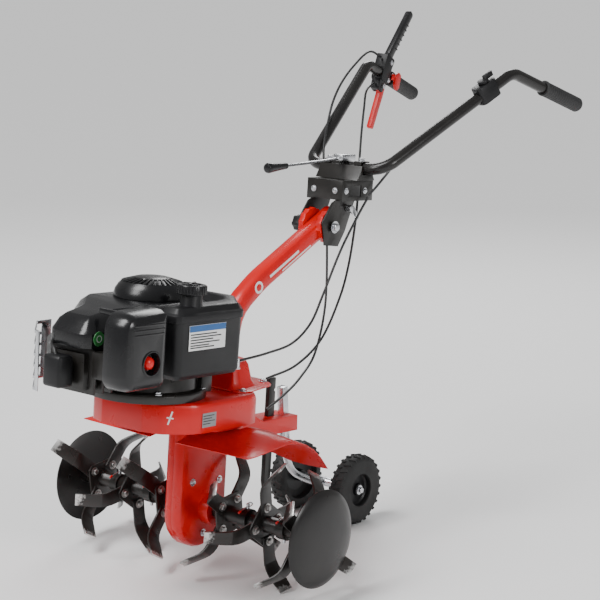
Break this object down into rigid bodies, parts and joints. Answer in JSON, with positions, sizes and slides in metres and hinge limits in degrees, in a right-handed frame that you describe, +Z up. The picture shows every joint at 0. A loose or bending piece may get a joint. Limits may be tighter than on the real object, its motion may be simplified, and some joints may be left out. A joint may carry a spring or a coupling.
{
  "type": "tiller",
  "caption": "Walk-behind petrol tiller with front rotary tines under a small vertical-shaft engine, a swivelling handlebar on a sloping column, and rear transport wheels.",
  "frame": {"origin": "on the ground, at the centre of the bounding box in plan", "axes": "+X to the machine's left, +Y to the rear towards the operator, +Z up"},
  "size_m": [0.6434, 1.4276, 1.0572],
  "materials": {
    "red_paint": "semi-gloss",
    "black_paint": "satin",
    "black_plastic": "fine grain",
    "rubber": "matt",
    "bright_zinc": "bright zinc plate",
    "bare_steel": "machined",
    "cast_aluminium": "as cast",
    "grey_tube": "satin",
    "red_plastic": "semi-gloss"
  },
  "bodies": {
    "chassis": {"engine_pan": "red_paint", "rear_frame": "red_paint", "belt_cover": "red_paint", "fender_left": "red_paint", "fender_right": "red_paint", "chain_case_left": "red_paint", "chain_case_right": "red_paint", "handle_column": "red_paint", "crankcase": "black_paint", "blower_housing": "black_plastic", "starter_cover": "black_plastic", "fuel_tank": "black_plastic", "air_filter_cover": "black_plastic", "muffler": "cast_aluminium", "muffler_guard": "bright_zinc", "plug_cover": "black_plastic", "drive_belt": "rubber", "drive_chain": "bare_steel", "forward_cable_lower": "rubber", "reverse_cable_lower": "rubber", "throttle_cable_lower": "rubber"},
    "rotor": {"rotor_axle": "bare_steel", "tine_set_left_1": "black_paint", "tine_set_left_2": "black_paint", "tine_set_left_3": "black_paint", "tine_set_right_1": "black_paint", "tine_set_right_2": "black_paint", "tine_set_right_3": "black_paint", "guard_disc_left": "black_paint", "guard_disc_right": "black_paint"},
    "input_gear": {"bevel_sprocket": "bare_steel"},
    "input_pulley": {"driven_pulley": "cast_aluminium"},
    "crank": {"crankshaft": "bare_steel"},
    "idler": {"idler_arm": "bright_zinc"},
    "wheel_carrier": {"wheel_bar": "bright_zinc"},
    "left_wheel": {"wheel_left": "rubber"},
    "right_wheel": {"wheel_right": "rubber"},
    "spur": {"depth_spur": "black_paint"},
    "head": {"head_bracket": "black_paint"},
    "clamp_knob": {"height_knob": "black_plastic"},
    "wing": {"wing_lever": "bright_zinc"},
    "handlebars": {"swivel_clamp": "black_paint", "handlebar": "grey_tube", "grip_left": "rubber", "grip_right": "rubber", "control_housing": "black_plastic", "throttle_housing": "black_plastic", "forward_cable_upper": "rubber", "reverse_cable_upper": "rubber", "throttle_cable_upper": "rubber"},
    "release": {"release_lever": "bright_zinc"},
    "forward_trigger": {"forward_lever": "black_plastic"},
    "reverse_trigger": {"reverse_lever": "red_plastic"},
    "latch": {"safety_latch": "red_plastic"},
    "throttle": {"throttle_lever": "black_plastic"},
    "throttle_link": {"throttle_arm": "bright_zinc"},
    "filler_cap": {"fuel_cap": "black_plastic"},
    "dipstick": {"oil_cap": "black_plastic"},
    "primer": {"primer_bulb": "red_plastic"},
    "pull_handle": {"starter_handle": "black_plastic"}
  },
  "joints": [
    {"name": "rotor_spin", "type": "hinge", "parent": "chassis", "child": "rotor", "pos_m": [0, -0.32756, 0.12969], "axis": [1, 0, 0], "continuous": true},
    {"name": "input_gear_spin", "type": "hinge", "parent": "chassis", "child": "input_gear", "pos_m": [0, -0.32628, 0.26821], "axis": [1, 0, 0], "continuous": true},
    {"name": "input_pulley_spin", "type": "hinge", "parent": "chassis", "child": "input_pulley", "pos_m": [0, -0.31899, 0.34386], "axis": [0, 0.0958, 0.9954], "continuous": true},
    {"name": "crank_spin", "type": "hinge", "parent": "chassis", "child": "crank", "pos_m": [0, -0.47129, 0.35852], "axis": [0, 0.0958, 0.9954], "continuous": true},
    {"name": "idler_swing", "type": "hinge", "parent": "chassis", "child": "idler", "pos_m": [0.086, -0.35184, 0.34702], "axis": [0, 0.0958, 0.9954], "range_deg": [-34, 0]},
    {"name": "wheel_height", "type": "slide", "parent": "chassis", "child": "wheel_carrier", "axis": [0, -0.061, 0.9981], "range_m": [-0.02, 0.06]},
    {"name": "left_wheel_spin", "type": "hinge", "parent": "wheel_carrier", "child": "left_wheel", "pos_m": [0.081, 0.07717, 0.07615], "axis": [1, 0, 0], "continuous": true},
    {"name": "right_wheel_spin", "type": "hinge", "parent": "wheel_carrier", "child": "right_wheel", "pos_m": [-0.081, 0.07717, 0.07615], "axis": [1, 0, 0], "continuous": true},
    {"name": "spur_height", "type": "slide", "parent": "chassis", "child": "spur", "axis": [0, 0.0958, 0.9954], "range_m": [-0.05, 0.05]},
    {"name": "column_tilt", "type": "hinge", "parent": "chassis", "child": "head", "pos_m": [0, 0.05624, 0.64126], "axis": [1, 0, 0], "range_deg": [-20, 20], "deforming": ["forward_cable_lower", "reverse_cable_lower", "throttle_cable_lower"]},
    {"name": "clamp_knob_turn", "type": "hinge", "parent": "head", "child": "clamp_knob", "pos_m": [-0.05, 0.05624, 0.64126], "axis": [1, 0, 0], "range_deg": [0, 270]},
    {"name": "wing_turn", "type": "hinge", "parent": "head", "child": "wing", "pos_m": [0.04, 0.10666, 0.67458], "axis": [1, 0, 0], "range_deg": [-90, 0]},
    {"name": "handlebar_swivel", "type": "hinge", "parent": "head", "child": "handlebars", "pos_m": [0, 0.14285, 0.7374], "axis": [0, 0.0958, 0.9954], "range_deg": [-30, 30], "deforming": ["forward_cable_upper", "reverse_cable_upper", "throttle_cable_upper"]},
    {"name": "release_turn", "type": "hinge", "parent": "handlebars", "child": "release", "pos_m": [0, 0.14616, 0.77174], "axis": [0, 0.0958, 0.9954], "range_deg": [-20, 20]},
    {"name": "forward_squeeze", "type": "hinge", "parent": "handlebars", "child": "forward_trigger", "pos_m": [-0.20639, 0.56493, 0.94274], "axis": [0.9911, 0.1246, -0.0468], "range_deg": [-22, 0], "stiffness_Nm_per_rad": 0.6, "springref_deg": 34.38},
    {"name": "reverse_squeeze", "type": "hinge", "parent": "handlebars", "child": "reverse_trigger", "pos_m": [-0.20572, 0.53919, 0.88831], "axis": [0.9911, 0.1246, -0.0468], "range_deg": [0, 20], "stiffness_Nm_per_rad": 0.4, "springref_deg": -34.38},
    {"name": "latch_press", "type": "hinge", "parent": "handlebars", "child": "latch", "pos_m": [-0.20931, 0.57514, 0.90792], "axis": [0.9911, 0.1246, -0.0468], "range_deg": [0, 15], "stiffness_Nm_per_rad": 0.1, "springref_deg": -34.38},
    {"name": "throttle_turn", "type": "hinge", "parent": "handlebars", "child": "throttle", "pos_m": [0.17279, 0.40461, 0.92384], "axis": [-0.1614, -0.4411, 0.8828], "range_deg": [0, 50]},
    {"name": "throttle_link_turn", "type": "hinge", "parent": "chassis", "child": "throttle_link", "pos_m": [0.08, -0.39688, 0.43223], "axis": [0, 0.0958, 0.9954], "range_deg": [-16, 0]},
    {"name": "filler_cap_turn", "type": "hinge", "parent": "chassis", "child": "filler_cap", "pos_m": [0.1375, -0.48905, 0.60184], "axis": [0, 0.0958, 0.9954], "range_deg": [0, 90]},
    {"name": "dipstick_turn", "type": "hinge", "parent": "chassis", "child": "dipstick", "pos_m": [-0.114, -0.44524, 0.47255], "axis": [0, 0.0958, 0.9954], "range_deg": [0, 90]},
    {"name": "primer_push", "type": "slide", "parent": "chassis", "child": "primer", "axis": [-1, 0, 0], "range_m": [0, 0.005], "stiffness_N_per_m": 600, "springref_m": -0.002},
    {"name": "starter_pull", "type": "slide", "parent": "chassis", "child": "pull_handle", "axis": [-1, 0, 0], "range_m": [0, 0.3], "stiffness_N_per_m": 12, "springref_m": -0.3}
  ],
  "couplings": [
    {"joint": "input_gear_spin", "follows": "rotor_spin", "ratio": 1.7778},
    {"joint": "input_pulley_spin", "follows": "rotor_spin", "ratio": 2.4178},
    {"joint": "idler_swing", "follows": "forward_squeeze", "ratio": 1.45},
    {"joint": "throttle_link_turn", "follows": "throttle_turn", "ratio": -0.3}
  ]
}
